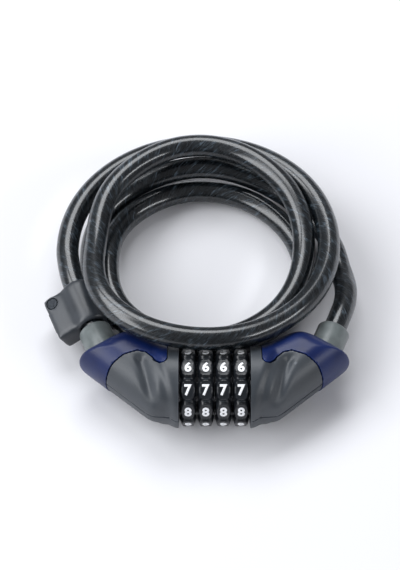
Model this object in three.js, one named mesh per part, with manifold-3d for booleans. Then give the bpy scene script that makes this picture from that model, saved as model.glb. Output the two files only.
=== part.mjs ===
// Self-coiling cable lock with a four-dial combination head and a carrying bracket on the cable.
// Units are millimetres, +Z is up. The origin is under the middle of the head, on the surface that
// the lock lies on: +X runs along the dials towards the plug, and the coiled cable lies at +Y.
// Pieces are drawn with the dial axis at y = 0, and the whole group is then moved to that origin.
import * as THREE from 'three';
import { mergeVertices } from 'three/addons/utils/BufferGeometryUtils.js';
import Module from 'manifold-3d';

const wasm = await Module();
wasm.setup();

// ---------- driving dimensions ----------
const GAP = 0.3;                  // clearance between neighbouring pieces
const BORE_PLAY = 0.4;            // clearance round what turns or slides in a bore

const DIAL_COUNT = 4;
const DIAL_PITCH = 7.5;
const DIAL_RADIUS = 16.5;         // over the number pads
const DIAL_GROOVE = 0.9;          // depth of the groove between two pads
const DIAL_FACES = 10;
const DIAL_EDGE = 0.8;            // bevel on the edge of each dial

const BARREL_BORE = 3.8;
const BARREL_WALL = 2.6;
const BARREL_FLANGE = 3.2;        // how far the flange stands out
const FLANGE_LENGTH = 2.7;
const FLANGE_PLACE = 4;           // from the dial stack to the flange
const CLIP_THICKNESS = 0.9;
const CLIP_GROOVE = 0.8;          // depth of the clip's groove in the barrel
const CLIP_STEP = 2.2;            // how far the clip stands out
const SLEEVE_NARROW = 3.2;        // length of the gated end of a code sleeve
const SLEEVE_WALL = 0.5;
const GATE_WIDTH = 2.6;
const LUG_LENGTH = 2;
const LUG_BITE = 1.4;             // how far a lug overlaps the narrow end of a sleeve
const PIN_NOSE = 1.9;             // the pin's free length ahead of its first lug
const PIN_HEAD = 2.6;             // how far the pin's head stands out
const SPRING_THICKNESS = 0.8;

const BODY_MARGIN = 0.9;          // the round end of each half stands proud of the dials
const FOOT_DEPTH = 0.4;           // flattened off under the round end
const BODY_END = 21.5;            // where that round end starts to fall to the wing
const BODY_CHAMFER = 3.5;
const BODY_SLANT = 0.29;          // the round end leans outwards towards the rear
const WING_HALF_THICKNESS = 14;
const WING_ROUND = 11;            // width of the rounding along the wing's edges
const TRIM_THICKNESS = 2;
const TRIM_PROUD = 0.3;
const SHELL_WALL = 2.4;           // under the trim, round the inner space

const CABLE_RADIUS = 5;
const CABLE_PLAY = 0.4;           // round the cable in each collar
const JACKET_WALL = 1.6;
const CORE_PLAY = 0.8;            // clears the flat sides of the jacket's bore
const CABLE_STEPS = 76;
const NECK_ANGLE = 22;            // degrees outwards from +Y
const NECK_MOUTH = [52.4, 29.4];  // centre of each cable opening
const NECK_DEPTH = 7;             // how far the cable goes in
const COLLAR_WALL = 1.8;
const COLLAR_LENGTH = 17;
const COLLAR_STEP = 0.8;          // how far its flange stands out
const COLLAR_LIP = 0.8;           // bevel round the mouth
const CRIMP_RADIUS = 4.3;
const CRIMP_HEAD = 5.5;
const CRIMP_HEAD_LENGTH = 2.7;

const SCREW_SHANK = 1.2;
const SCREW_HEAD = 2.4;
const SCREW_HEAD_HEIGHT = 1.8;
const SCREW_PLACES = [[29.5, -6.5], [31, 13]];

const BRACKET_LENGTH = 22;        // along the cable
const BRACKET_WALL = 2.2;
const BRACKET_REACH = 15;         // from the cable's centre to the outer face of the foot
const BRACKET_FOOT = 11;          // thickness of the foot
const BRACKET_DROOP = 25;         // degrees that the foot hangs down
const BRACKET_SCREW = [-11.3, 7.3]; // in the foot: towards the cable, and along it
const INSERT_WIDTH = 11;
const BRACKET_START = 2;          // from the left neck's mouth, along the cable

// Outline of one wing seen from above, convex, on the plug side; the lock side mirrors it.
const WING_OUTLINE = [
  [8, 11], [33.5, 25], [38.7, 25.5], [43.4, 23.9], [50.3, 19.4],
  [57.6, 14.6], [59, 12.6], [27, -15], [8, -15],
];
// Front edge of the trim, from its inner end to beyond the wing's tip.
const TRIM_EDGE = [
  [20.3, 40], [20.3, 3.5], [21.4, 2], [23, 2.4], [29, 9.1], [33, 10.1],
  [38.7, 8], [44.3, 4.5], [50, -2], [70, -2], [70, 40],
];

// The cable's route. It leaves the left neck, coils clockwise as seen from above, and ends in the
// right neck. Each coil station lies 45 degrees after the one before it: [radius, height].
const COIL_CENTRE = [-7, 70];
const STATION_STEP = 45;
const COIL_STATIONS = [
  [58.6, 16.5], [61.7, 16], [63.2, 16.3], [60.8, 20.5], [58.2, 25], [58, 31.3], [57.8, 36.5], [54.5, 35],
  [45.3, 28.5], [49.8, 27.5], [55, 27], [51, 27], [47.2, 22], [47.2, 19], [46, 17], [45, 17],
  [40.5, 14], [43, 6.5], [45.3, 5.2], [46.2, 5.2], [47.7, 5.2], [45, 5.2], [43.5, 5.2], [46.5, 5.2],
  [48.5, 5.2], [54, 6.4], [51.7, 14.7], [57, 8.3], [63.8, 7.8],
];
// Points between each neck and the coil, with their heights given from the dial axis.
const LEFT_LEAD = [[-56.2, 38.6, 0], [-59.9, 47.5, 0], [-63.4, 58, 0]];
const RIGHT_LEAD = [[58.3, 61.8, -7.5], [58.8, 53.6, -4.3], [57.8, 45.2, -2], [55.5, 37.5, -0.3]];

// ---------- sizes that follow ----------
const BODY_RADIUS = DIAL_RADIUS + BODY_MARGIN;
const AXIS_HEIGHT = BODY_RADIUS - FOOT_DEPTH;
const CORE_RADIUS = BARREL_BORE + BARREL_WALL;
const FLANGE_RADIUS = CORE_RADIUS + BARREL_FLANGE;
const COLLAR_BORE = CABLE_RADIUS + CABLE_PLAY;
const COLLAR_RADIUS = COLLAR_BORE + COLLAR_WALL;
const COLLAR_FLANGE = COLLAR_RADIUS + COLLAR_STEP;

// ---------- colours ----------
const material = (color, roughness, metalness = 0) =>
  new THREE.MeshStandardMaterial({ color, roughness, metalness });
const GRAPHITE = material(0x565b62, 0.45, 0.3);
const BLUE = material(0x1b2f66, 0.35, 0.2);
const GREY = material(0x7a817f, 0.4, 0.2);
const BLACK = material(0x17191c, 0.35);
const SMOKE = material(0x20262c, 0.2);
const STEEL = material(0x9aa0a6, 0.35, 0.9);
const ZINC = material(0x8b8d8c, 0.5, 0.8);
const BRACKET = material(0x3d4147, 0.55);

// ---------- helpers ----------
const group = new THREE.Group();
const radians = THREE.MathUtils.degToRad;

function solid(geometry) {
  const plain = geometry.clone();
  plain.deleteAttribute('normal');
  plain.deleteAttribute('uv');
  const merged = mergeVertices(plain, 1e-4);
  const index = merged.index.array;
  const kept = [];
  for (let i = 0; i < index.length; i += 3) {
    const [a, b, c] = [index[i], index[i + 1], index[i + 2]];
    if (a !== b && b !== c && c !== a) kept.push(a, b, c);
  }
  const mesh = new wasm.Mesh({
    numProp: 3,
    vertProperties: new Float32Array(merged.attributes.position.array),
    triVerts: new Uint32Array(kept),
  });
  return new wasm.Manifold(mesh);
}

function surface(body) {
  const mesh = body.getMesh();
  const geometry = new THREE.BufferGeometry();
  geometry.setAttribute('position', new THREE.BufferAttribute(new Float32Array(mesh.vertProperties), 3));
  geometry.setIndex(new THREE.BufferAttribute(new Uint32Array(mesh.triVerts), 1));
  geometry.computeVertexNormals();
  return geometry;
}

function piece(name, geometry, look) {
  const mesh = new THREE.Mesh(geometry, look);
  mesh.name = name;
  group.add(mesh);
  return mesh;
}

const box = (x0, x1, y0, y1, z0, z1) =>
  new THREE.BoxGeometry(x1 - x0, y1 - y0, z1 - z0).translate((x0 + x1) / 2, (y0 + y1) / 2, (z0 + z1) / 2);

// Mirrors a geometry to the other half of the lock, with its faces still pointing out.
function mirrored(geometry) {
  const copy = geometry.clone().scale(-1, 1, 1);
  const index = copy.index.array;
  for (let i = 0; i < index.length; i += 3) [index[i], index[i + 1]] = [index[i + 1], index[i]];
  return copy;
}

// Turns a profile of [radius, distance along X] points about the dial axis.
function onDialAxis(profile, segments) {
  const points = profile.map(([r, x]) => new THREE.Vector2(r, x));
  return new THREE.LatheGeometry(points, segments)
    .rotateZ(-Math.PI / 2)
    .translate(0, 0, AXIS_HEIGHT);
}
const tubeProfile = (inner, outer, x0, x1) =>
  [[inner, x0], [outer, x0], [outer, x1], [inner, x1], [inner, x0]];
const rodProfile = (r, x0, x1) => [[0, x0], [r, x0], [r, x1], [0, x1]];

// Turns a profile of [radius, distance] points about the plug side's neck. The distance is 0 at
// the mouth and falls going into the head.
const neckTurn = radians(NECK_ANGLE);
function onNeckAxis(profile, segments) {
  const points = profile.map(([r, s]) => new THREE.Vector2(r, s));
  return new THREE.LatheGeometry(points, segments)
    .rotateZ(-neckTurn)
    .translate(NECK_MOUTH[0], NECK_MOUTH[1], AXIS_HEIGHT);
}

// ---------- one half of the head ----------
const stackHalf = (DIAL_COUNT * DIAL_PITCH) / 2;
const bodyInner = stackHalf + GAP;
const clipStart = stackHalf + 0.25;
const clipEnd = clipStart + CLIP_THICKNESS;
const BARREL_LIP = 0.8;           // of the barrel, beyond the clip
const barrelEnd = clipEnd + 0.15 + BARREL_LIP;
const flangeStart = stackHalf + FLANGE_PLACE;
const flangeEnd = flangeStart + FLANGE_LENGTH;

// A slab that is rounded along one edge of the wing's outline and endless the other way.
const SLAB_LENGTH = 200;
function edgeSlab(from, to, offset, arcSteps) {
  const half = WING_HALF_THICKNESS + offset;
  const round = Math.max(WING_ROUND + offset, 1);
  const section = new THREE.Shape();
  section.moveTo(SLAB_LENGTH / 2, -half);
  section.lineTo(round - offset, -half);
  section.absellipse(round - offset, 0, round, half, -Math.PI / 2, Math.PI / 2, true);
  section.lineTo(SLAB_LENGTH / 2, half);
  const slab = new THREE.ExtrudeGeometry(section, {
    depth: SLAB_LENGTH, bevelEnabled: false, curveSegments: arcSteps,
  });
  slab.translate(0, 0, -SLAB_LENGTH / 2);
  const along = new THREE.Vector3(to[0] - from[0], to[1] - from[1], 0).normalize();
  const inward = new THREE.Vector3(along.y, -along.x, 0);
  const place = new THREE.Matrix4().makeBasis(inward, new THREE.Vector3(0, 0, -1), along);
  place.setPosition(from[0], from[1], AXIS_HEIGHT);
  return slab.applyMatrix4(place);
}

// All the room on the plug side of the dials, above a height.
const outerSide = (bottom) => box(bodyInner, 80, -40, 60, bottom, 60);

function wing(offset, arcSteps) {
  const edges = WING_OUTLINE.slice(0, -1).map((from, i) =>
    solid(edgeSlab(from, WING_OUTLINE[i + 1], offset, arcSteps)));
  return edges.reduce((body, slab) => body.intersect(slab)).intersect(solid(outerSide(-40)));
}

function roundEnd(offset, arcSteps) {
  const radius = BODY_RADIUS + offset;
  const end = BODY_END + offset;
  const tip = end + BODY_CHAMFER;
  const profile = [[0, 0], [radius, 0], [radius, end], [radius - BODY_CHAMFER, tip], [0, tip]];
  const slant = new THREE.Matrix4().set(1, BODY_SLANT, 0, 0, 0, 1, 0, 0, 0, 0, 1, 0, 0, 0, 0, 1);
  return solid(onDialAxis(profile, 4 * arcSteps).applyMatrix4(slant))
    .intersect(solid(outerSide(-40)));
}

function headHalf(offset, arcSteps) {
  const floor = Math.max(0, -offset);
  return wing(offset, arcSteps).add(roundEnd(offset, arcSteps)).intersect(solid(outerSide(floor)));
}

const trimRegion = (grow) => {
  const shape = new THREE.Shape(TRIM_EDGE.map(([x, y]) => new THREE.Vector2(x, y)));
  const prism = new THREE.ExtrudeGeometry(shape, {
    depth: 60, bevelEnabled: grow > 0, bevelSize: grow, bevelThickness: 1, bevelSegments: 1,
  });
  return solid(prism.translate(0, 0, -12));
};

const neckHole = solid(onNeckAxis(rodProfile(COLLAR_RADIUS + GAP, -COLLAR_LENGTH - 0.6, 12), 16));
const collarGroove = solid(onNeckAxis(rodProfile(COLLAR_FLANGE + GAP, -14.3, -11.7), 16));
const crimpEnd = -COLLAR_LENGTH - GAP - CRIMP_HEAD_LENGTH;
const crimpPocket = solid(onNeckAxis(rodProfile(CRIMP_HEAD + 0.5, crimpEnd - 1, -COLLAR_LENGTH), 12));
const OUTSIDE_ARC = 8;
const INSIDE_ARC = 4;
const whole = headHalf(0, OUTSIDE_ARC);
const underTrim = headHalf(-TRIM_THICKNESS - GAP, INSIDE_ARC);
const core = headHalf(-TRIM_THICKNESS - GAP - SHELL_WALL, INSIDE_ARC);

const trimCap = headHalf(TRIM_PROUD, OUTSIDE_ARC).intersect(trimRegion(0))
  .subtract(headHalf(-TRIM_THICKNESS, INSIDE_ARC))
  .subtract(neckHole)
  .subtract(collarGroove);

// The inner space of a half: open round the cable's end, with posts for the screws.
function innerSpace() {
  const room = core.intersect(solid(box(27.5, 80, -40, 60, -20, 60)));
  const posts = SCREW_PLACES.map(([x, y]) =>
    solid(new THREE.CylinderGeometry(4, 4, 60, 10).rotateX(Math.PI / 2).translate(x, y, AXIS_HEIGHT)));
  const ribs = solid(onNeckAxis(rodProfile(COLLAR_FLANGE + 3, -16.5, -9.5), 12));
  return posts.reduce((space, post) => space.subtract(post), room).subtract(ribs);
}

// Bores on the dial axis: the entry, the recess for the clip, and the pocket for the flange.
const axisBore = solid(onDialAxis(rodProfile(CORE_RADIUS + BORE_PLAY, 10, flangeEnd + 5.3), 16))
  .add(solid(onDialAxis(rodProfile(FLANGE_RADIUS + GAP, flangeStart - GAP, flangeEnd + GAP), 16)));
const clipOuter = CORE_RADIUS + CLIP_STEP;
const clipRecess = solid(onDialAxis(rodProfile(clipOuter + 2 * GAP, 10, barrelEnd - BARREL_LIP / 2), 16));

const screwHeadTop = AXIS_HEIGHT - WING_HALF_THICKNESS + TRIM_THICKNESS + GAP + SCREW_HEAD_HEIGHT + 1.8;
const screwTop = AXIS_HEIGHT + 7.5;
function screwHoles() {
  const holes = SCREW_PLACES.map(([x, y]) => {
    const shank = new THREE.CylinderGeometry(SCREW_SHANK + GAP, SCREW_SHANK + GAP, screwTop + GAP + 5, 8);
    const head = new THREE.CylinderGeometry(SCREW_HEAD + GAP, SCREW_HEAD + GAP, screwHeadTop + 5, 8);
    return solid(shank.rotateX(Math.PI / 2).translate(x, y, (screwTop + GAP - 5) / 2))
      .add(solid(head.rotateX(Math.PI / 2).translate(x, y, (screwHeadTop - 5) / 2)));
  });
  return holes.reduce((all, hole) => all.add(hole));
}

const casing = whole
  .subtract(trimRegion(GAP).subtract(underTrim))
  .subtract(innerSpace())
  .subtract(neckHole)
  .subtract(collarGroove)
  .subtract(crimpPocket)
  .subtract(axisBore)
  .subtract(screwHoles());
const above = solid(box(0, 90, -50, 70, AXIS_HEIGHT + GAP / 2, 80));
const below = solid(box(0, 90, -50, 70, -30, AXIS_HEIGHT - GAP / 2));
const plugCasing = casing.subtract(clipRecess);

piece('lock_shell_upper', mirrored(surface(casing.intersect(above))), GRAPHITE);
piece('lock_shell_lower', mirrored(surface(casing.intersect(below))), GRAPHITE);
piece('plug_shell_upper', surface(plugCasing.intersect(above)), GRAPHITE);
piece('plug_shell_lower', surface(plugCasing.intersect(below)), GRAPHITE);
piece('lock_trim', mirrored(surface(trimCap)), BLUE);
piece('plug_trim', surface(trimCap), BLUE);

// ---------- cable ends: collar, crimp and screws, alike on both halves ----------
const collarProfile = [
  [COLLAR_BORE, 0], [COLLAR_RADIUS - COLLAR_LIP, 0], [COLLAR_RADIUS, -COLLAR_LIP], [COLLAR_RADIUS, -12],
  [COLLAR_FLANGE, -12], [COLLAR_FLANGE, -14], [COLLAR_RADIUS, -14], [COLLAR_RADIUS, -COLLAR_LENGTH],
  [CRIMP_RADIUS + GAP, -COLLAR_LENGTH], [CRIMP_RADIUS + GAP, -NECK_DEPTH - 2 * GAP],
  [COLLAR_BORE, -NECK_DEPTH - 2 * GAP], [COLLAR_BORE, 0],
].reverse();
const crimpProfile = [
  [0, -NECK_DEPTH - GAP], [CRIMP_RADIUS, -NECK_DEPTH - GAP], [CRIMP_RADIUS, -COLLAR_LENGTH - GAP],
  [CRIMP_HEAD, -COLLAR_LENGTH - GAP], [CRIMP_HEAD, crimpEnd], [0, crimpEnd],
].reverse();
const screwProfile = [
  [0, screwHeadTop - SCREW_HEAD_HEIGHT - GAP], [SCREW_HEAD, screwHeadTop - SCREW_HEAD_HEIGHT - GAP],
  [SCREW_HEAD, screwHeadTop - GAP], [SCREW_SHANK, screwHeadTop - GAP], [SCREW_SHANK, screwTop], [0, screwTop],
];
function bothHalves(name, geometry, look) {
  piece(`plug_${name}`, geometry, look);
  piece(`lock_${name}`, mirrored(geometry), look);
}
bothHalves('collar', onNeckAxis(collarProfile, 16), GREY);
bothHalves('crimp', onNeckAxis(crimpProfile, 12), STEEL);
SCREW_PLACES.forEach(([x, y], i) => {
  const turned = new THREE.LatheGeometry(screwProfile.map(([r, h]) => new THREE.Vector2(r, h)), 8);
  bothHalves(`screw_${i + 1}`, turned.rotateX(Math.PI / 2).translate(x, y, 0), STEEL);
});

// ---------- locking mechanism on the dial axis ----------
const dialWidth = DIAL_PITCH - GAP;
const dialPlaces = Array.from({ length: DIAL_COUNT }, (_, i) => (i + 0.5) * DIAL_PITCH - stackHalf);
const sleeveNarrowBore = CORE_RADIUS + BORE_PLAY;
const lugReach = sleeveNarrowBore + LUG_BITE;
const sleeveWideBore = lugReach + BORE_PLAY;
const sleeveOuter = sleeveWideBore + SLEEVE_WALL;
const dialBore = sleeveOuter + GAP;
// A block above the dial axis, between two radii: a slot's shape, a gate's or a lug's.
const topBlock = (width, from, to, x0, x1) =>
  solid(box(x0, x1, -width / 2, width / 2, AXIS_HEIGHT + from, AXIS_HEIGHT + to));

function dialRing(x) {
  const outline = new THREE.Shape();
  const steps = DIAL_FACES * 4;
  for (let i = 0; i < steps; i += 1) {
    const turn = (i / steps) * 2 * Math.PI;
    const groove = Math.max(0, -Math.cos(turn * DIAL_FACES)) * DIAL_GROOVE;
    const r = DIAL_RADIUS - groove;
    if (i === 0) outline.moveTo(r, 0);
    else outline.lineTo(r * Math.cos(turn), r * Math.sin(turn));
  }
  const bore = new THREE.Path().absarc(0, 0, dialBore, 0, 2 * Math.PI, true);
  outline.holes.push(bore);
  const ring = new THREE.ExtrudeGeometry(outline, {
    depth: dialWidth - 2 * DIAL_EDGE, bevelThickness: DIAL_EDGE, bevelSize: DIAL_EDGE,
    bevelOffset: -DIAL_EDGE, bevelSegments: 1, curveSegments: 8,
  });
  ring.translate(0, 0, DIAL_EDGE - dialWidth / 2);
  return ring.rotateY(-Math.PI / 2).translate(x, 0, AXIS_HEIGHT);
}

function codeSleeve(x) {
  const step = x + dialWidth / 2 - SLEEVE_NARROW;
  const profile = [
    [sleeveWideBore, x - dialWidth / 2], [sleeveOuter, x - dialWidth / 2], [sleeveOuter, x + dialWidth / 2],
    [sleeveNarrowBore, x + dialWidth / 2], [sleeveNarrowBore, step], [sleeveWideBore, step],
    [sleeveWideBore, x - dialWidth / 2],
  ];
  const gate = topBlock(GATE_WIDTH, BARREL_BORE, sleeveWideBore, x, x + DIAL_PITCH);
  return solid(onDialAxis(profile, 16)).subtract(gate);
}

dialPlaces.forEach((x, i) => {
  piece(`dial_ring_${i + 1}`, dialRing(x), BLACK);
  piece(`code_sleeve_${i + 1}`, surface(codeSleeve(x)), ZINC);
});

const barrelBack = flangeEnd + 1.3;
const grooveRadius = CORE_RADIUS - CLIP_GROOVE;
const barrelProfile = [
  [BARREL_BORE, -barrelBack], [CORE_RADIUS, -barrelBack],
  [CORE_RADIUS, -flangeEnd], [FLANGE_RADIUS, -flangeEnd],
  [FLANGE_RADIUS, -flangeStart], [CORE_RADIUS, -flangeStart], [CORE_RADIUS, clipStart - 0.15],
  [grooveRadius, clipStart - 0.15], [grooveRadius, barrelEnd - BARREL_LIP],
  [CORE_RADIUS - 0.2, barrelEnd - BARREL_LIP], [CORE_RADIUS - 0.2, barrelEnd],
  [BARREL_BORE, barrelEnd], [BARREL_BORE, -barrelBack],
];
const springHalf = 1.4;
const springTop = AXIS_HEIGHT - CORE_RADIUS + 0.4 + SPRING_THICKNESS;
const springSeat = solid(box(
  -stackHalf, stackHalf, -springHalf - GAP, springHalf + GAP, AXIS_HEIGHT - CORE_RADIUS - 2, springTop + GAP,
));
const barrel = solid(onDialAxis(barrelProfile, 16))
  .subtract(topBlock(GATE_WIDTH, 0, CORE_RADIUS + 5, -stackHalf + 0.5, barrelEnd + 5))
  .subtract(springSeat);
piece('lock_barrel', surface(barrel), ZINC);

const clip = solid(onDialAxis(tubeProfile(grooveRadius + GAP, clipOuter, clipStart, clipEnd), 16))
  .subtract(topBlock(GATE_WIDTH + 2 * GAP, 0, clipOuter + 5, 0, clipEnd + 5));
piece('barrel_clip', surface(clip), STEEL);

const springBumps = dialPlaces.map((x) => solid(box(
  x - 0.8, x + 0.8, -springHalf + 0.2, springHalf - 0.2, AXIS_HEIGHT - CORE_RADIUS - 0.05, springTop - 0.2,
)));
const spring = springBumps.reduce(
  (strip, bump) => strip.add(bump),
  solid(box(
    -stackHalf + 0.4, stackHalf - 0.4, -springHalf, springHalf, springTop - SPRING_THICKNESS, springTop,
  )),
);
piece('detent_spring', surface(spring), STEEL);

// The pin's lugs sit in the wide bores of the sleeves, so that the dials turn freely while locked.
const pinRadius = BARREL_BORE - BORE_PLAY;
const pinTip = dialPlaces[0] - LUG_LENGTH - PIN_NOSE;
const headStart = flangeEnd + GAP;
const lugEnd = (x) => x + dialWidth / 2 - SLEEVE_NARROW - 2 * GAP;
const pinHead = pinRadius + PIN_HEAD;
const pinProfile = [
  [0, pinTip], [pinRadius - 1, pinTip], [pinRadius, pinTip + 1], [pinRadius, headStart],
  [pinHead, headStart], [pinHead, headStart + 2], [0, headStart + 2],
];
const lockingPin = dialPlaces.reduce(
  (pin, x) => pin.add(topBlock(LUG_LENGTH, pinRadius / 2, lugReach, lugEnd(x) - LUG_LENGTH, lugEnd(x))),
  solid(onDialAxis(pinProfile, 12)),
);
piece('locking_pin', surface(lockingPin), STEEL);
const retainer = tubeProfile(pinRadius + GAP, FLANGE_RADIUS, flangeStart, flangeEnd);
piece('pin_retainer', onDialAxis(retainer, 16), ZINC);

// ---------- cable ----------
// Uniform Catmull-Rom value between stations, held straight past both ends.
function between(rows, t) {
  const i = Math.min(Math.floor(t), rows.length - 2);
  const f = t - i;
  const [b, c] = [rows[i], rows[i + 1]];
  const a = rows[i - 1] ?? b.map((v, k) => 2 * v - c[k]);
  const d = rows[i + 2] ?? c.map((v, k) => 2 * v - b[k]);
  return b.map((v, k) => 0.5 * (2 * v + (c[k] - a[k]) * f + (2 * a[k] - 5 * v + 4 * c[k] - d[k]) * f * f
    + (-a[k] + 3 * v - 3 * c[k] + d[k]) * f ** 3));
}

function neckPoint(side, s) {
  const [x, y] = [NECK_MOUTH[0] + s * Math.sin(neckTurn), NECK_MOUTH[1] + s * Math.cos(neckTurn)];
  return [side * x, y, AXIS_HEIGHT];
}

function cableRoute() {
  const coil = [];
  const perStation = 6;
  for (let k = 0; k <= (COIL_STATIONS.length - 1) * perStation; k += 1) {
    const t = k / perStation;
    const heading = radians(180 - STATION_STEP * t);
    const [radius, height] = between(COIL_STATIONS, t);
    const [x, y] = COIL_CENTRE;
    coil.push([x + radius * Math.cos(heading), y + radius * Math.sin(heading), height]);
  }
  const lead = (points) => points.map(([x, y, z]) => [x, y, AXIS_HEIGHT + z]);
  return [
    neckPoint(-1, -NECK_DEPTH), neckPoint(-1, 0), ...lead(LEFT_LEAD), ...coil, ...lead(RIGHT_LEAD),
    neckPoint(1, 0), neckPoint(1, -NECK_DEPTH),
  ];
}

class Route extends THREE.Curve {
  constructor(rows) {
    super();
    this.rows = rows;
    this.arcLengthDivisions = 1200;
  }

  getPoint(t, target = new THREE.Vector3()) {
    return target.set(...between(this.rows, t * (this.rows.length - 1)));
  }
}
const route = new Route(cableRoute());

function polygon(radius, sides) {
  const centre = new THREE.Vector2();
  const corner = (k) => new THREE.Vector2(radius, 0).rotateAround(centre, (k / sides) * 2 * Math.PI);
  return Array.from({ length: sides }, (_, k) => corner(k));
}
const alongRoute = (section) =>
  new THREE.ExtrudeGeometry(section, { steps: CABLE_STEPS, extrudePath: route });
const jacketBore = CABLE_RADIUS - JACKET_WALL;
const jacketSection = new THREE.Shape(polygon(CABLE_RADIUS, 10));
jacketSection.holes.push(new THREE.Path(polygon(jacketBore, 6).reverse()));
piece('cable_jacket', alongRoute(jacketSection), SMOKE);
piece('cable_core', alongRoute(new THREE.Shape(polygon(jacketBore - CORE_PLAY, 6))), STEEL);

// ---------- carrying bracket on the cable ----------
// Built along +Y at the origin with its foot towards -X, then laid on the cable.
const bracketBore = CABLE_RADIUS + CABLE_PLAY;
const bracketOuter = bracketBore + BRACKET_WALL;
const footHalf = BRACKET_FOOT / 2;
const footBlock = box(-BRACKET_REACH, 0, -BRACKET_LENGTH / 2, BRACKET_LENGTH / 2, -footHalf, footHalf);
const cylinderY = (r, length, sides) => solid(new THREE.CylinderGeometry(r, r, length, sides));
const screwHole = (r, z0, z1) => {
  const hole = new THREE.CylinderGeometry(r, r, z1 - z0, 12).rotateX(Math.PI / 2);
  return solid(hole.translate(...BRACKET_SCREW, (z0 + z1) / 2));
};
const insertBack = -bracketOuter - 1;
const insertRoom = solid(box(-BRACKET_REACH - 2, insertBack, -INSERT_WIDTH / 2, INSERT_WIDTH / 2, -2.6, 2.6));
const bracketBody = cylinderY(bracketOuter, BRACKET_LENGTH, 20)
  .add(solid(footBlock))
  .subtract(cylinderY(bracketBore, BRACKET_LENGTH + 4, 16))
  .subtract(insertRoom)
  .subtract(screwHole(SCREW_SHANK + GAP, -3, footHalf + 9))
  .subtract(screwHole(SCREW_HEAD + GAP, footHalf - 2, footHalf + 4));
const insertHalf = INSERT_WIDTH / 2 - GAP;
const insertBody = solid(box(-BRACKET_REACH - 0.6, insertBack - GAP, -insertHalf, insertHalf, -2.3, 2.3))
  .subtract(solid(box(-BRACKET_REACH - 4, -BRACKET_REACH + 2.5, -3.4, 3.4, -0.8, 0.8)));
const bracketScrewProfile = [
  [0, -2.6], [SCREW_SHANK, -2.6], [SCREW_SHANK, footHalf - 1.7], [SCREW_HEAD, footHalf - 1.7],
  [SCREW_HEAD, footHalf - 0.4], [0, footHalf - 0.4],
].map(([r, h]) => new THREE.Vector2(r, h));
const bracketScrew = new THREE.LatheGeometry(bracketScrewProfile, 12)
  .rotateX(Math.PI / 2)
  .translate(...BRACKET_SCREW, 0);

const bracketAt = neckPoint(-1, BRACKET_START + BRACKET_LENGTH / 2);
for (const [name, geometry, look] of [
  ['bracket_clip', surface(bracketBody), BRACKET],
  ['bracket_insert', surface(insertBody), BLACK],
  ['bracket_screw', bracketScrew, STEEL],
]) {
  const mesh = piece(name, geometry.rotateY(-radians(BRACKET_DROOP)), look);
  mesh.position.set(...bracketAt);
  mesh.rotation.z = neckTurn;
}

const headFront = -BODY_RADIUS;
const headBack = NECK_MOUTH[1] + (COLLAR_RADIUS - COLLAR_LIP) * Math.sin(neckTurn);
group.position.y = -(headFront + headBack) / 2;

export default group;
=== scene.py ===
import math
import bmesh
import bpy
import numpy as np
from mathutils import Matrix, Vector


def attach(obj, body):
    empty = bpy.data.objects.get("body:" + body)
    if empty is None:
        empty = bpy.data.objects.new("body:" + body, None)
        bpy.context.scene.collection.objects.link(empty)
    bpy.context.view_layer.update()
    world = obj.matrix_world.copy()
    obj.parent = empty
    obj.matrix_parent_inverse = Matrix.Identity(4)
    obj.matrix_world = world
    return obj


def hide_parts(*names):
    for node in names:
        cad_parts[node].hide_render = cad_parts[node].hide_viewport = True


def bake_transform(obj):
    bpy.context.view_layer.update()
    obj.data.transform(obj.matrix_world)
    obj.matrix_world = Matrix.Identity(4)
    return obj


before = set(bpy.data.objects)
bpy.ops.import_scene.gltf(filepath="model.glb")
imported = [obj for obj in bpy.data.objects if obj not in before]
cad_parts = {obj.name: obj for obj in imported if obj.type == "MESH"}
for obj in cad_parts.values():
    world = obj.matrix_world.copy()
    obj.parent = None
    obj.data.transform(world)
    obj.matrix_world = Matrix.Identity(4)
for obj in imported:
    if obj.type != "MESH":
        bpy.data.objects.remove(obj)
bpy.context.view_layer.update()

# ---------- view ----------
# The lock lies on a table and is seen from above its front edge, through a long lens that keeps
# the head and the coil in proportion.
MM = 0.001
target = Vector((-6.2, 46.4, 17)) * MM
elevation = math.radians(55)
distance = 0.9
lens = bpy.data.cameras.new("view")
lens.lens = 128
lens.sensor_fit = "VERTICAL"
lens.sensor_height = 36
lens.clip_start = 0.01
camera = bpy.data.objects.new("view", lens)
bpy.context.collection.objects.link(camera)
camera.location = target + Vector((0, -math.cos(elevation), math.sin(elevation))) * distance
camera.rotation_euler = (math.pi / 2 - elevation, 0, 0)
bpy.context.scene.camera = camera


# ---------- steel cable in its clear smoked jacket ----------
# A lock cable is a rope of fine steel wires, laid up in six strands and run through an extruder
# that leaves a smooth skin of smoke-tinted PVC on it. Heat-setting gives the coil its memory.
CABLE_RADIUS = 5.0
STRANDS = 6
STRAND_LAY = 34.0        # mm of cable in which a strand goes once round
WIRES_ROUND = 36         # wires drawn side by side round the rope
GLINT_LENGTH = 2.8       # mm of wire that catches the light at once
TUBE_SIDES = 28
NECK_MOUTH = (52.4, 29.4)
NECK_TURN = math.radians(22)
NECK_DEPTH = 7.0
AXIS_HEIGHT = 17.0
HEAD_SHIFT = -7.199      # from the dial axis to the middle of the head, along Y
COIL_CENTRE = (-7.0, 70.0)
STATION_STEP = math.radians(45)
COIL_STATIONS = [
    (58.6, 16.5), (61.7, 16), (63.2, 16.3), (60.8, 20.5), (58.2, 25), (58, 31.3), (57.8, 36.5),
    (54.5, 35), (45.3, 28.5), (49.8, 27.5), (55, 27), (51, 27), (47.2, 22), (47.2, 19), (46, 17),
    (45, 17), (40.5, 14), (43, 6.5), (45.3, 5.2), (46.2, 5.2), (47.7, 5.2), (45, 5.2), (43.5, 5.2),
    (46.5, 5.2), (48.5, 5.2), (54, 6.4), (51.7, 14.7), (57, 8.3), (63.8, 7.8),
]
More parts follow.
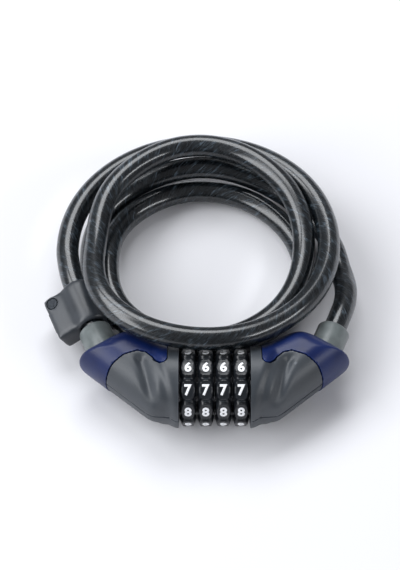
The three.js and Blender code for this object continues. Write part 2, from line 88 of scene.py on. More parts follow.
LEFT_LEAD = [(-56.2, 38.6, 17), (-59.9, 47.5, 17), (-63.4, 58, 17)]
RIGHT_LEAD = [(58.3, 61.8, 9.5), (58.8, 53.6, 12.7), (57.8, 45.2, 15), (55.5, 37.5, 16.7)]


def neck_point(side, along):
    """A point on one half's neck axis, that far out from the mouth."""
    x = NECK_MOUTH[0] + along * math.sin(NECK_TURN)
    y = NECK_MOUTH[1] + along * math.cos(NECK_TURN)
    return (side * x, y, AXIS_HEIGHT)


def between(rows, t):
    """A smooth curve through the rows, at row number t."""
    rows = np.array(rows, float)
    i = min(max(int(t), 0), len(rows) - 2)
    f = t - i
    b, c = rows[i], rows[i + 1]
    a = rows[i - 1] if i > 0 else 2 * b - c
    d = rows[i + 2] if i + 2 < len(rows) else 2 * c - b
    return 0.5 * (2 * b + (c - a) * f + (2 * a - 5 * b + 4 * c - d) * f**2 + (3 * b - a - 3 * c + d) * f**3)


def cable_route(step):
    """Points along the whole cable, in metres, about step millimetres apart."""
    coil = []
    for k in range(6 * (len(COIL_STATIONS) - 1) + 1):
        radius, height = between(COIL_STATIONS, k / 6)
        heading = math.pi - STATION_STEP * k / 6
        x = COIL_CENTRE[0] + radius * math.cos(heading)
        y = COIL_CENTRE[1] + radius * math.sin(heading)
        coil.append((x, y, height))
    knots = [neck_point(-1, -NECK_DEPTH), neck_point(-1, 0), *LEFT_LEAD, *coil, *RIGHT_LEAD]
    knots += [neck_point(1, 0), neck_point(1, -NECK_DEPTH)]
    fine = np.array([between(knots, k / 10) for k in range(10 * (len(knots) - 1) + 1)])
    far = np.concatenate([[0], np.cumsum(np.linalg.norm(np.diff(fine, axis=0), axis=1))])
    places = np.linspace(0, far[-1], int(far[-1] / step) + 1)
    points = np.stack([np.interp(places, far, fine[:, i]) for i in range(3)], 1)
    points[:, 1] += HEAD_SHIFT
    return points * MM, places


def new_piece(name, points, faces, smooth=True):
    """A mesh object from points in metres, ready for its material."""
    mesh = bpy.data.meshes.new(name)
    mesh.from_pydata([tuple(p) for p in points], [], [tuple(f) for f in faces])
    mesh.polygons.foreach_set("use_smooth", [smooth] * len(mesh.polygons))
    piece = bpy.data.objects.new(name, mesh)
    bpy.context.collection.objects.link(piece)
    return piece


def tube(name, line, places, radius, sides):
    """A round tube along a line, closed at both ends, with a strand map along and round it."""
    ahead = np.gradient(line, axis=0)
    ahead /= np.linalg.norm(ahead, axis=1)[:, None]
    up = np.array([0.0, 0.0, 1.0])
    rings = []
    for point, way in zip(line, ahead):
        across = np.cross(up, way)
        across /= np.linalg.norm(across)
        top = np.cross(way, across)
        for k in range(sides):
            turn = 2 * math.pi * k / sides
            rings.append(point + radius * (across * math.cos(turn) + top * math.sin(turn)))
    faces = []
    for i in range(len(line) - 1):
        for k in range(sides):
            a, b = i * sides + k, i * sides + (k + 1) % sides
            faces.append((a, b, b + sides, a + sides))
    faces.append(tuple(reversed(range(sides))))
    faces.append(tuple(range((len(line) - 1) * sides, len(line) * sides)))
    piece = new_piece(name, rings, faces)
    strand_map = piece.data.uv_layers.new(name="strands")
    for face in piece.data.polygons:
        for loop in face.loop_indices:
            vertex = piece.data.loops[loop].vertex_index
            ring, k = divmod(vertex, sides)
            last_column = k == 0 and any(
                piece.data.loops[other].vertex_index % sides == sides - 1 for other in face.loop_indices
            )
            around = 1.0 if last_column and len(face.vertices) == 4 else k / sides
            strand_map.data[loop].uv = (places[ring] / STRAND_LAY, around)
    return piece


# The last stretch, from the coil to the plug, is a length of its own; on the real lock that stretch goes with
# the plug when it is pulled.
# Both lengths meet on one ring.
cable_line, cable_places = cable_route(1.6)
RUN_IN_LENGTH = 88.0
cut = int(np.argmax(cable_places > cable_places[-1] - RUN_IN_LENGTH))
cable_coil = tube("cable_coil", cable_line[: cut + 1], cable_places[: cut + 1], CABLE_RADIUS * MM, TUBE_SIDES)
cable_run_in = tube("cable_run_in", cable_line[cut:], cable_places[cut:], CABLE_RADIUS * MM, TUBE_SIDES)


def linear(hex_colour):
    """An sRGB colour such as 0x20262C as linear red, green, blue and alpha."""
    parts = [((hex_colour >> shift) & 255) / 255 for shift in (16, 8, 0)]
    return [c / 12.92 if c <= 0.04045 else ((c + 0.055) / 1.055) ** 2.4 for c in parts] + [1.0]


def add(material, kind, settings=None, links=None):
    """One node, with its settings and with what feeds its inputs."""
    node = material.node_tree.nodes.new("ShaderNode" + kind)
    for name, value in (settings or {}).items():
        if isinstance(name, int) or name in node.inputs:
            node.inputs[name].default_value = value
        else:
            setattr(node, name, value)
    for name, source in (links or {}).items():
        material.node_tree.links.new(source, node.inputs[name])
    return node


def new_material(name):
    """An empty material and its output node."""
    material = bpy.data.materials.new(name)
    material.use_nodes = True
    material.node_tree.nodes.clear()
    return material, material.node_tree.nodes.new("ShaderNodeOutputMaterial")


def ramp(material, factor, stops):
    """A colour ramp: (place, hex colour) for each stop."""
    node = add(material, "ValToRGB", links={"Fac": factor})
    while len(node.color_ramp.elements) < len(stops):
        node.color_ramp.elements.new(0.5)
    for element, (place, colour) in zip(node.color_ramp.elements, stops):
        element.position = place
        element.color = linear(colour)
    return node.outputs["Color"]


# Extruded smoke PVC: a smooth, slightly hazed skin over dull steel strands. The eye sees soft grey streaks of
# the lamps along each turn.
# Under them, short slanted glints of wire are painted into the base colour as pale flecks, and the gaps
# between the strands are painted darker as shade.
smoke_pvc, output = new_material("extruded_smoke_pvc_over_steel")
where = add(smoke_pvc, "UVMap", {"uv_map": "strands"})
split = add(smoke_pvc, "SeparateXYZ", links={"Vector": where.outputs["UV"]})
slant = add(smoke_pvc, "Math", {"operation": "ADD"}, {0: split.outputs["X"], 1: split.outputs["Y"]})
round_all = add(smoke_pvc, "Math", {"operation": "MULTIPLY", 1: STRANDS * 2 * math.pi}, {0: slant.outputs[0]})
strand = add(smoke_pvc, "Math", {"operation": "SINE"}, {0: round_all.outputs[0]})
# Painted shade: each strand's crown is painted lighter and the gaps between strands darker.
painted_strand_shade = add(smoke_pvc, "MapRange", {"From Min": -1.0, "From Max": 1.0, "To Min": 0.5, "To Max": 1.0},
            {"Value": strand.outputs[0]})
# The wires of a strand are 0.6 mm thick, and are drawn 0.9 mm wide so that their painted glints show.
wire = add(smoke_pvc, "Math", {"operation": "MULTIPLY", 1: WIRES_ROUND}, {0: slant.outputs[0]})
glint_place = add(smoke_pvc, "Math", {"operation": "MULTIPLY", 1: STRAND_LAY / GLINT_LENGTH},
                  {0: split.outputs["X"]})
in_strand = add(smoke_pvc, "CombineXYZ", links={"X": wire.outputs[0], "Y": glint_place.outputs[0]})
glints = add(smoke_pvc, "TexNoise", {"Scale": 1.0, "Detail": 3.0, "Roughness": 0.6, "Distortion": 0.5},
             {"Vector": in_strand.outputs["Vector"]})
# Painted glint: the brighter wire noise becomes pale flecks in the base colour.
painted_wire_glint = add(smoke_pvc, "MapRange", {"From Min": 0.38, "From Max": 0.66}, {"Value": glints.outputs["Fac"]})
cloud = add(smoke_pvc, "TexNoise", {"Scale": 130.0, "Detail": 2.0},
            {"Vector": add(smoke_pvc, "TexCoord").outputs["Object"]})
clearer = add(smoke_pvc, "MapRange", {"From Min": 0.35, "From Max": 0.65, "To Min": 0.35},
              {"Value": cloud.outputs["Fac"]})
painted_glints_and_strand_shade = add(smoke_pvc, "Math", {"operation": "MULTIPLY"},
            {0: painted_wire_glint.outputs["Result"], 1: painted_strand_shade.outputs["Result"]})
lit = add(smoke_pvc, "Math", {"operation": "MULTIPLY"},
          {0: painted_glints_and_strand_shade.outputs[0], 1: clearer.outputs["Result"]})
# The ramp runs from the painted shade between strands up to the painted glint of the wires.
colour = ramp(smoke_pvc, lit.outputs[0], [(0.0, 0x040608), (0.3, 0x13181C), (0.9, 0x525C65)])
height = add(smoke_pvc, "Bump", {"Strength": 0.35, "Distance": 0.0005}, {"Height": painted_glints_and_strand_shade.outputs[0]})
rough = add(smoke_pvc, "MapRange", {"To Min": 0.34, "To Max": 0.5}, {"Value": cloud.outputs["Fac"]})
skin = add(smoke_pvc, "BsdfPrincipled", {"IOR": 1.53, "Specular IOR Level": 0.15, "Coat Weight": 0.85,
           "Coat Roughness": 0.19, "Coat IOR": 1.62, "Coat Tint": (0.9, 0.96, 1.0, 1.0)},
           {"Base Color": colour, "Roughness": rough.outputs["Result"], "Normal": height.outputs["Normal"]})
smoke_pvc.node_tree.links.new(skin.outputs["BSDF"], output.inputs["Surface"])

for length_of_cable in (cable_coil, cable_run_in):
    length_of_cable.data.materials.append(smoke_pvc)
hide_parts("cable_jacket", "cable_core")
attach(cable_coil, "lock_body")
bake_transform(cable_run_in)


# ---------- number dials ----------
# Four dials moulded in black acetal turn on the barrel. Each has ten oval number pads with a
# raised rim and a waist between them, and its numbers are pad-printed in thick white ink.
DIAL_COUNT = 4
DIAL_PITCH = 7.5
DIAL_WIDTH = 7.2
DIAL_RADIUS = 16.5
DIAL_BORE = 9.4
DIAL_FACES = 10
PAD_HALF_WIDTH = 3.1
PAD_HALF_LENGTH = 4.75
PAD_HEIGHT = 0.85
WAIST = 0.8
RIM_HEIGHT = 0.32        # of the raised oval round each number
EDGE_FALL = 2.2          # how far a dial's rounded sides fall
SHOWN_NUMBER = 6         # stands straight up, so that the next one faces the user
NUMBER_HEIGHT = 4.9


def eased(low, high, value):
    """0 below low, 1 above high, and an even curve between them."""
    t = np.clip((value - low) / (high - low), 0, 1)
    return t * t * (3 - 2 * t)


def round_the_dials(turn, radius, x):
    """A point on a dial: the turn is from straight up towards the user."""
    return (x * MM, (HEAD_SHIFT - radius * math.sin(turn)) * MM, (AXIS_HEIGHT + radius * math.cos(turn)) * MM)


def dial_ring(name, middle):
    """One dial with its ten pads, as a ring of cross-sections."""
    turns, across = DIAL_FACES * 24, np.sin(np.linspace(-1, 1, 19) * math.pi / 2)
    pitch = 2 * math.pi / DIAL_FACES
    points, faces = [], []
    for i in range(turns):
        turn = 2 * math.pi * i / turns
        off_pad = (turn + pitch / 2) % pitch - pitch / 2
        along = abs(off_pad) * DIAL_RADIUS
        half = DIAL_WIDTH / 2 - WAIST * eased(0.55, 1.0, abs(off_pad) / (pitch / 2))
        section = [(DIAL_BORE, -DIAL_WIDTH / 2), (DIAL_RADIUS - 3.2, -DIAL_WIDTH / 2)]
        for place in across:
            x = half * place
            oval = ((abs(x) / PAD_HALF_WIDTH) ** 2.4 + (along / PAD_HALF_LENGTH) ** 2.4) ** (1 / 2.4)
            rim = RIM_HEIGHT * math.exp(-(((oval - 0.86) / 0.07) ** 2))
            edge = EDGE_FALL * max(0, abs(place) - 0.55) ** 2 / 0.45**2
            section.append((DIAL_RADIUS - 0.2 + rim - PAD_HEIGHT * eased(0.9, 1.12, oval) - edge, x))
        section += [(DIAL_RADIUS - 3.2, DIAL_WIDTH / 2), (DIAL_BORE, DIAL_WIDTH / 2)]
        points += [round_the_dials(turn, radius, middle + x) for radius, x in section]
    count = len(section)
    for i in range(turns):
        here, there = i * count, (i + 1) % turns * count
        for k in range(count):
            m = (k + 1) % count
            faces.append((here + k, here + m, there + m, there + k))
    ring = new_piece(name, points, faces)
    ring.data.set_sharp_from_angle(angle=math.radians(38))
    return ring


def number_print(number, middle):
    """The outline of one printed number, wrapped on its pad, as points and faces."""
    lettering = bpy.data.curves.new("number", "FONT")
    lettering.body = str(number)
    lettering.size = 1.0
    lettering.bevel_depth = 0.04
    lettering.bevel_resolution = 2
    stencil = bpy.data.objects.new("number", lettering)
    bpy.context.collection.objects.link(stencil)
    bpy.context.view_layer.update()
    flat = bpy.data.meshes.new_from_object(stencil.evaluated_get(bpy.context.evaluated_depsgraph_get()))
    bpy.data.objects.remove(stencil)
    work = bmesh.new()
    work.from_mesh(flat)
    low = Vector(min(v.co[i] for v in work.verts) for i in range(3))
    high = Vector(max(v.co[i] for v in work.verts) for i in range(3))
    scale = NUMBER_HEIGHT / (high.y - low.y)
    for k in range(1, 10):
        level = low.y + (high.y - low.y) * k / 10
        whole = list(work.verts) + list(work.edges) + list(work.faces)
        bmesh.ops.bisect_plane(work, geom=whole, plane_co=(0, level, 0), plane_no=(0, 1, 0))
    points = []
    for vertex in work.verts:
        x = (vertex.co.x - (low.x + high.x) / 2) * scale * 0.94
        up = (vertex.co.y - (low.y + high.y) / 2) * scale
        turn = (number - SHOWN_NUMBER) * 2 * math.pi / DIAL_FACES - up / DIAL_RADIUS
        points.append(round_the_dials(turn, DIAL_RADIUS - 0.14 + vertex.co.z * scale / 2, middle + x))
    work.verts.index_update()
    faces = [[v.index for v in face.verts] for face in work.faces]
    work.free()
    return points, faces


# Moulded acetal is black and slightly waxy, with fine handling marks; its raised rims are painted paler grey
# as a painted highlight where they catch the light.
# The ink is a dense matt white.
acetal, output = new_material("moulded_black_acetal")
place = add(acetal, "TexCoord").outputs["Object"]
marks = add(acetal, "TexNoise", {"Scale": 900.0, "Detail": 4.0}, {"Vector": place})
smears = add(acetal, "TexNoise", {"Scale": 130.0, "Detail": 2.0}, {"Vector": place})
tint = ramp(acetal, smears.outputs["Fac"], [(0.3, 0x111317), (0.75, 0x1E2227)])
waxy = add(acetal, "MapRange", {"To Min": 0.22, "To Max": 0.42}, {"Value": smears.outputs["Fac"]})
fine = add(acetal, "Bump", {"Strength": 0.12, "Distance": 0.0002}, {"Height": marks.outputs["Fac"]})
# Painted highlight: the pointed rims of the pads are painted paler grey.
painted_rim_highlight_mask = add(acetal, "MapRange", {"From Min": 0.51, "From Max": 0.57, "To Max": 0.75},
           {"Value": add(acetal, "NewGeometry").outputs["Pointiness"]})
rim_colour_with_painted_highlight = add(acetal, "Mix", {"data_type": "RGBA", 7: linear(0x4A5157)},
             {0: painted_rim_highlight_mask.outputs["Result"], 6: tint})
black = add(acetal, "BsdfPrincipled", {"IOR": 1.48},
            {"Base Color": rim_colour_with_painted_highlight.outputs[2], "Roughness": waxy.outputs["Result"],
             "Normal": fine.outputs["Normal"]})
acetal.node_tree.links.new(black.outputs["BSDF"], output.inputs["Surface"])

ink, output = new_material("pad_printed_white_ink")
speckle = add(ink, "TexNoise", {"Scale": 1800.0, "Detail": 3.0},
              {"Vector": add(ink, "TexCoord").outputs["Object"]})
whites = ramp(ink, speckle.outputs["Fac"], [(0.3, 0xE4E7EC), (0.7, 0xFFFFFF)])
printed = add(ink, "BsdfPrincipled", {"IOR": 1.5, "Roughness": 0.55}, {"Base Color": whites})
ink.node_tree.links.new(printed.outputs["BSDF"], output.inputs["Surface"])

for i in range(DIAL_COUNT):
    middle = (i - (DIAL_COUNT - 1) / 2) * DIAL_PITCH
    ring = dial_ring(f"dial_{i + 1}_ring", middle)
    ring.data.materials.append(acetal)
    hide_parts(f"dial_ring_{i + 1}")
    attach(ring, f"dial_{i + 1}")
    points, faces = [], []
    for number in range(DIAL_FACES):
        more_points, more_faces = number_print(number, middle)
        faces += [[v + len(points) for v in face] for face in more_faces]
        points += more_points
    numbers = new_piece(f"dial_{i + 1}_numbers", points, faces, smooth=False)
    numbers.data.materials.append(ink)
    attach(numbers, f"dial_{i + 1}")


# ---------- casing halves ----------
# Each half of the head is two glass-filled nylon mouldings screwed together from below, with a
# fine spark-eroded texture in satin graphite.
SKIN_STEP = 0.55         # mm between the points of a moulded skin
WING_OUTLINE = [
    (8, 11), (33.5, 25), (38.7, 25.5), (43.4, 23.9), (50.3, 19.4), (57.6, 14.6), (59, 12.6),
    (27, -15), (8, -15),
]
WING_HALF_THICKNESS = 14.0
WING_ROUND = 11.0
BODY_RADIUS = 17.4
BODY_END = 21.5
BODY_SLANT = 0.29
VALLEY = ((32.4, 9.0), (24.6, -19.0))    # two points on the line sunk in each face
VALLEY_DEPTH = 1.7
VALLEY_SPREAD = 2.1
RIDGE_HEIGHT = 0.55
RIDGE_SPREAD = 2.0
RIDGE_FROM_VALLEY = 4.3


def rounded_max(a, b, width):
    """The larger of two distances, with the corner between them rounded."""
    blend = np.clip(0.5 + 0.5 * (a - b) / width, 0, 1)
    return b + (a - b) * blend + width * blend * (1 - blend)


def head_form(points, corner_power):
    """How far points lie outside one head half, in mm from its own axes; the plug's side is +X."""
    x, y, z = points[:, 0], points[:, 1], points[:, 2] - AXIS_HEIGHT
    closeness = []
    for (x0, y0), (x1, y1) in zip(WING_OUTLINE, WING_OUTLINE[1:]):
        run = math.hypot(x1 - x0, y1 - y0)
        inside = ((x - x0) * (y1 - y0) - (y - y0) * (x1 - x0)) / run
        closeness.append(np.clip((WING_ROUND - inside) / WING_ROUND, 0, None))
    closeness = np.array(closeness)
    top = closeness.max(0) + 1e-9
    near = top * ((closeness / top) ** corner_power).sum(0) ** (1 / corner_power)
    wing = (np.sqrt(near**2 + (z / WING_HALF_THICKNESS) ** 2) - 1) * 12.5
    out = np.sqrt(y**2 + z**2) - BODY_RADIUS
    drum = rounded_max(out, (out + x - BODY_SLANT * y - BODY_END) / math.sqrt(2), 1.2)
    return -rounded_max(-wing, -drum, 1.6)


def hand_relief(points):
    """The sunk line and the low ridge beside it on both faces of a wing."""
    x, y, z = points[:, 0], points[:, 1], points[:, 2] - AXIS_HEIGHT
    (x0, y0), (x1, y1) = VALLEY
    run = math.hypot(x1 - x0, y1 - y0)
    off = ((x - x0) * (y0 - y1) + (y - y0) * (x1 - x0)) / run
    face = eased(5, 11, np.abs(z))
    fade = 1 - eased(5.0, 9.0, y)
    sunk = VALLEY_DEPTH * np.exp(-((off / VALLEY_SPREAD) ** 2))
    ridge = RIDGE_HEIGHT * np.exp(-(((off + RIDGE_FROM_VALLEY) / RIDGE_SPREAD) ** 2))
    return face * fade * (ridge - sunk)


def moulded_skin(name, node, side, proud=0.0):
    """A node's shape with an even skin of points, and its outside laid on the true rounded form."""
    rough = bpy.data.objects.new("rough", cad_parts[node].data.copy())
    bpy.context.collection.objects.link(rough)
    remesh = rough.modifiers.new("skin", "REMESH")
    remesh.mode = "VOXEL"
    remesh.voxel_size = SKIN_STEP * MM
    bpy.context.view_layer.update()
    skin = bpy.data.meshes.new_from_object(rough.evaluated_get(bpy.context.evaluated_depsgraph_get()))
    bpy.data.objects.remove(rough)
    count = len(skin.vertices)
    points = np.empty(count * 3)
    skin.vertices.foreach_get("co", points)
    points = points.reshape(-1, 3) / MM * (side, 1, 1) - (0, HEAD_SHIFT, 0)
    edges = np.empty(len(skin.edges) * 2, int)
    skin.edges.foreach_get("vertices", edges)
    edges = edges.reshape(-1, 2)
    outside = (np.abs(head_form(points, 60) - proud) < 0.42) & (points[:, 2] > 0.35)
    for turn in range(3):
        total = np.zeros_like(points)
        shared = np.zeros(count)
        for a, b in ((0, 1), (1, 0)):
            np.add.at(total, edges[:, a], points[edges[:, b]])
            np.add.at(shared, edges[:, a], 1)
        middle = total / np.maximum(shared, 1)[:, None]
        points[~outside] += 0.5 * (middle - points)[~outside]
    shell = points[outside]
    for turn in range(6):
        here = head_form(shell, 14) - proud - hand_relief(shell)
        slope = np.stack([
            (head_form(shell + step, 14) - head_form(shell - step, 14)) / 0.1 for step in np.eye(3) * 0.05
        ], 1)
        shell = shell - slope * (here / np.maximum((slope**2).sum(1), 0.2))[:, None]
    points[outside] = shell
    points = (points + (0, HEAD_SHIFT, 0)) * (side, 1, 1) * MM
    skin.vertices.foreach_set("co", points.reshape(-1))
    skin.polygons.foreach_set("use_smooth", [True] * len(skin.polygons))
    skin.set_sharp_from_angle(angle=math.radians(50))
    piece = bpy.data.objects.new(name, skin)
    bpy.context.collection.objects.link(piece)
    piece.data.materials.clear()
    return piece


# Satin graphite nylon: the eroded grain is 0.1 mm and is drawn at 0.4 mm, so that it shows.
# Sharp edges are painted a little paler, as a painted highlight.
graphite, output = new_material("spark_textured_graphite_nylon")
place = add(graphite, "TexCoord").outputs["Object"]
grain = add(graphite, "TexNoise", {"Scale": 1300.0, "Detail": 3.0, "Roughness": 0.6}, {"Vector": place})
cloudy = add(graphite, "TexNoise", {"Scale": 60.0, "Detail": 3.0}, {"Vector": place})
base = ramp(graphite, cloudy.outputs["Fac"], [(0.3, 0x30353A), (0.7, 0x3C4147)])
# Painted highlight: convex edges are painted paler grey.
edges = add(graphite, "MapRange", {"From Min": 0.52, "From Max": 0.62, "To Max": 0.5},
            {"Value": add(graphite, "NewGeometry").outputs["Pointiness"]})
colour_with_painted_edge_highlight = add(graphite, "Mix", {"data_type": "RGBA", 7: linear(0x6A7077)},
           {0: edges.outputs["Result"], 6: base})
satin = add(graphite, "MapRange", {"To Min": 0.36, "To Max": 0.52}, {"Value": cloudy.outputs["Fac"]})
eroded = add(graphite, "Bump", {"Strength": 0.28, "Distance": 0.0002}, {"Height": grain.outputs["Fac"]})
casing = add(graphite, "BsdfPrincipled", {"IOR": 1.52},
             {"Base Color": colour_with_painted_edge_highlight.outputs[2], "Roughness": satin.outputs["Result"],
              "Normal": eroded.outputs["Normal"]})
graphite.node_tree.links.new(casing.outputs["BSDF"], output.inputs["Surface"])

HALVES = (("lock", -1, "lock_body"), ("plug", 1, "plug"))
for half, side, body in HALVES:
    for layer in ("upper", "lower"):
        node = f"{half}_shell_{layer}"
        shell = moulded_skin(f"{half}_casing_{layer}", node, side)
        shell.data.materials.append(graphite)
        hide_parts(node)
        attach(shell, body)


# ---------- blue caps ----------
# A separate cap in navy-blue ABS wraps the rear edge of each half, from the dials out to the tip
# and round the neck. It snaps on before the screws go in.
navy, output = new_material("moulded_navy_abs")
place = add(navy, "TexCoord").outputs["Object"]
grain = add(navy, "TexNoise", {"Scale": 1300.0, "Detail": 3.0}, {"Vector": place})
cloudy = add(navy, "TexNoise", {"Scale": 70.0, "Detail": 2.0}, {"Vector": place})
base = ramp(navy, cloudy.outputs["Fac"], [(0.3, 0x0A1843), (0.7, 0x0F2357)])
# Painted highlight: convex edges of the cap are painted paler blue.
edges = add(navy, "MapRange", {"From Min": 0.52, "From Max": 0.64, "To Max": 0.4},
            {"Value": add(navy, "NewGeometry").outputs["Pointiness"]})
colour_with_painted_edge_highlight = add(navy, "Mix", {"data_type": "RGBA", 7: linear(0x34509A)}, {0: edges.outputs["Result"], 6: base})
satin = add(navy, "MapRange", {"To Min": 0.3, "To Max": 0.45}, {"Value": cloudy.outputs["Fac"]})
eroded = add(navy, "Bump", {"Strength": 0.2, "Distance": 0.0002}, {"Height": grain.outputs["Fac"]})
cap_skin = add(navy, "BsdfPrincipled", {"IOR": 1.52, "Specular IOR Level": 0.32},
               {"Base Color": colour_with_painted_edge_highlight.outputs[2], "Roughness": satin.outputs["Result"],
                "Normal": eroded.outputs["Normal"]})
navy.node_tree.links.new(cap_skin.outputs["BSDF"], output.inputs["Surface"])

for half, side, body in HALVES:
    cap = moulded_skin(f"{half}_cap", f"{half}_trim", side, proud=0.3)
    cap.data.materials.append(navy)
    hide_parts(f"{half}_trim")
    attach(cap, body)


# ---------- neck collars ----------
# A turned collar of light grey acetal lines each cable opening. Its flange is trapped between the
# shells, and its bevelled mouth keeps the jacket from chafing.
COLLAR_RADIUS = 7.2
COLLAR_BORE = 5.4
COLLAR_LENGTH = 17.0
COLLAR_FLANGE = 8.0
CRIMP_BORE = 4.6         # past the end of the jacket
COLLAR_PROFILE = [
    (COLLAR_BORE, -0.5), (5.6, -0.1), (6.2, 0.0), (6.6, -0.15), (7.0, -0.5), (COLLAR_RADIUS, -1.0),
    (COLLAR_RADIUS, -12), (COLLAR_FLANGE, -12), (COLLAR_FLANGE, -14), (COLLAR_RADIUS, -14),
    (COLLAR_RADIUS, -COLLAR_LENGTH), (CRIMP_BORE, -COLLAR_LENGTH), (CRIMP_BORE, -7.6), (COLLAR_BORE, -7.6),
]


def turned(name, profile, side, sides=64):
    """A ring turned about one half's neck axis from (radius, distance from the mouth) points."""
    points, faces = [], []
    for k in range(sides):
        turn = 2 * math.pi * k / sides
        for radius, along in profile:
            x, y, z = neck_point(1, along)
            across = radius * math.cos(turn)
            x += across * math.cos(NECK_TURN)
            y += HEAD_SHIFT - across * math.sin(NECK_TURN)
            points.append((side * x * MM, y * MM, (z + radius * math.sin(turn)) * MM))
    count = len(profile)
    for k in range(sides):
        here, there = k * count, (k + 1) % sides * count
        for i in range(count):
            m = (i + 1) % count
            ring = (here + i, there + i, there + m, here + m)
            faces.append(ring if side > 0 else tuple(reversed(ring)))
    piece = new_piece(name, points, faces)
    piece.data.set_sharp_from_angle(angle=math.radians(40))
    return piece


grey_acetal, output = new_material("turned_grey_acetal")
place = add(grey_acetal, "TexCoord").outputs["Object"]
bloom = add(grey_acetal, "TexNoise", {"Scale": 240.0, "Detail": 3.0}, {"Vector": place})
lathe = add(grey_acetal, "TexNoise", {"Scale": 1500.0, "Detail": 2.0}, {"Vector": place})
tint = ramp(grey_acetal, bloom.outputs["Fac"], [(0.3, 0x596060), (0.7, 0x6B7272)])
soft = add(grey_acetal, "MapRange", {"To Min": 0.28, "To Max": 0.44}, {"Value": bloom.outputs["Fac"]})
turned_marks = add(grey_acetal, "Bump", {"Strength": 0.15, "Distance": 0.0002},
                   {"Height": lathe.outputs["Fac"]})
grey_skin = add(grey_acetal, "BsdfPrincipled", {"IOR": 1.48},
                {"Base Color": tint, "Roughness": soft.outputs["Result"],
                 "Normal": turned_marks.outputs["Normal"]})
grey_acetal.node_tree.links.new(grey_skin.outputs["BSDF"], output.inputs["Surface"])

for half, side, body in HALVES:
    collar = turned(f"{half}_neck_collar", COLLAR_PROFILE, side)
    collar.data.materials.append(grey_acetal)
    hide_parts(f"{half}_collar")
    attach(collar, body)


# ---------- carrying bracket ----------
# A moulded nylon sleeve turns on the cable and carries a foot, with a soft insert in it, that
# clamps the coiled lock to a frame. A screw draws the insert in.
nylon, output = new_material("moulded_charcoal_nylon")
place = add(nylon, "TexCoord").outputs["Object"]
grain = add(nylon, "TexNoise", {"Scale": 1100.0, "Detail": 3.0}, {"Vector": place})
cloudy = add(nylon, "TexNoise", {"Scale": 90.0, "Detail": 3.0}, {"Vector": place})
tint = ramp(nylon, cloudy.outputs["Fac"], [(0.3, 0x292D32), (0.7, 0x353A40)])
satin = add(nylon, "MapRange", {"To Min": 0.3, "To Max": 0.48}, {"Value": cloudy.outputs["Fac"]})
eroded = add(nylon, "Bump", {"Strength": 0.2, "Distance": 0.0002}, {"Height": grain.outputs["Fac"]})
nylon_skin = add(nylon, "BsdfPrincipled", {"IOR": 1.52},
                 {"Base Color": tint, "Roughness": satin.outputs["Result"],
                  "Normal": eroded.outputs["Normal"]})
nylon.node_tree.links.new(nylon_skin.outputs["BSDF"], output.inputs["Surface"])


def softened(name, node, step, rounds, kept=None):
    """A node's shape with every edge eased, as moulding leaves it, except at the points kept."""
    eased_copy = bpy.data.objects.new(name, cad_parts[node].data.copy())
    bpy.context.collection.objects.link(eased_copy)
    remesh = eased_copy.modifiers.new("skin", "REMESH")
    remesh.mode = "VOXEL"
    remesh.voxel_size = step * MM
    bpy.context.view_layer.update()
    skin = bpy.data.meshes.new_from_object(
        eased_copy.evaluated_get(bpy.context.evaluated_depsgraph_get()))
    eased_copy.modifiers.clear()
    eased_copy.data = skin
    ease = eased_copy.modifiers.new("ease", "SMOOTH")
    ease.factor = 0.5
    ease.iterations = rounds
    if kept:
        ease.vertex_group = eased_copy.vertex_groups.new(name="free").name
        free = 1 - kept(np.array([vertex.co for vertex in skin.vertices]))
        for index, amount in enumerate(free):
            eased_copy.vertex_groups["free"].add([index], float(amount), "REPLACE")
    bpy.context.view_layer.update()
    skin = bpy.data.meshes.new_from_object(
        eased_copy.evaluated_get(bpy.context.evaluated_depsgraph_get()))
    eased_copy.modifiers.clear()
    eased_copy.vertex_groups.clear()
    eased_copy.data = skin
    skin.materials.clear()
    skin.polygons.foreach_set("use_smooth", [True] * len(skin.polygons))
    return eased_copy


BRACKET_WITHIN = 40.0    # mm of the cable from the lock's end
BORE_WALL = (5.9, 7.4)   # mm from the cable's centre, over which the easing grows
WELL_WALL = (2.9, 4.4)   # the same from the screw's centre


def bore_and_screw(points):
    """1 at the cable's bore and at the screw's well, which stay as they are, and 0 away from them."""
    near = cable_line[cable_places < BRACKET_WITHIN]
    from_cable = np.linalg.norm(points[:, None] - near[None], axis=2).min(1) / MM
    screw = np.array([vertex.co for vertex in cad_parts["bracket_screw"].data.vertices])
    middle = screw.mean(0)
    along = np.linalg.svd(screw - middle)[2][0]
    off = points - middle
    from_screw = np.linalg.norm(off - np.outer(off @ along, along), axis=1) / MM
    return np.maximum(1 - eased(*BORE_WALL, from_cable), 0.95 * (1 - eased(*WELL_WALL, from_screw)))


sleeve = softened("bracket_sleeve", "bracket_clip", 0.4, 150, bore_and_screw)
sleeve.data.materials.append(nylon)
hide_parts("bracket_clip")
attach(sleeve, "bracket")

# The insert is a soft black elastomer with a dull, slightly dusty surface.
elastomer, output = new_material("moulded_black_elastomer")
dust = add(elastomer, "TexNoise", {"Scale": 700.0, "Detail": 4.0},
           {"Vector": add(elastomer, "TexCoord").outputs["Object"]})
tint = ramp(elastomer, dust.outputs["Fac"], [(0.35, 0x15171A), (0.75, 0x26292D)])
dull = add(elastomer, "MapRange", {"To Min": 0.6, "To Max": 0.8}, {"Value": dust.outputs["Fac"]})
pores = add(elastomer, "Bump", {"Strength": 0.2, "Distance": 0.0002}, {"Height": dust.outputs["Fac"]})
rubbery = add(elastomer, "BsdfPrincipled", {"IOR": 1.5},
              {"Base Color": tint, "Roughness": dull.outputs["Result"], "Normal": pores.outputs["Normal"]})
elastomer.node_tree.links.new(rubbery.outputs["BSDF"], output.inputs["Surface"])
insert = softened("bracket_soft_insert", "bracket_insert", 0.2, 3)
insert.data.materials.append(elastomer)
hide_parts("bracket_insert")
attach(insert, "bracket")


